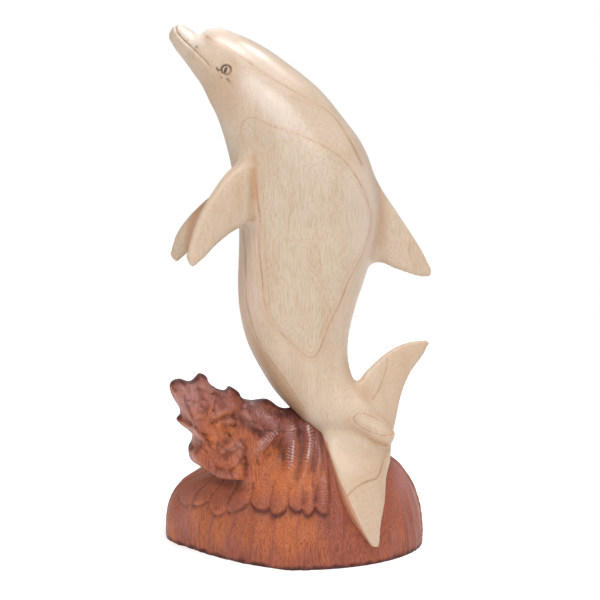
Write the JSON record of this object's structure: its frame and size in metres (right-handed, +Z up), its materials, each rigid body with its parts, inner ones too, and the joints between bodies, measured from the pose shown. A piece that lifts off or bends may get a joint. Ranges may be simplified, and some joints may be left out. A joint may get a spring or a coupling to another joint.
{
  "type": "wooden dolphin sculpture",
  "caption": "Carved wooden dolphin standing upright on its tail fluke against a dark stained wave-shaped base, a free-standing shelf ornament.",
  "frame": {"origin": "centre of the base's flat underside", "axes": "+Z up; +X towards the dolphin's back, so its belly and beak face -X; -Y is the shown front, where the lower lobe of the fluke lies"},
  "size_m": [0.1551, 0.117, 0.2991],
  "materials": {
    "pale_wood": "sanded smooth, satin",
    "stained_wood": "red-brown stain under gloss lacquer"
  },
  "bodies": {
    "root": {"dolphin": "pale_wood", "wave_base": "stained_wood"}
  },
  "joints": []
}
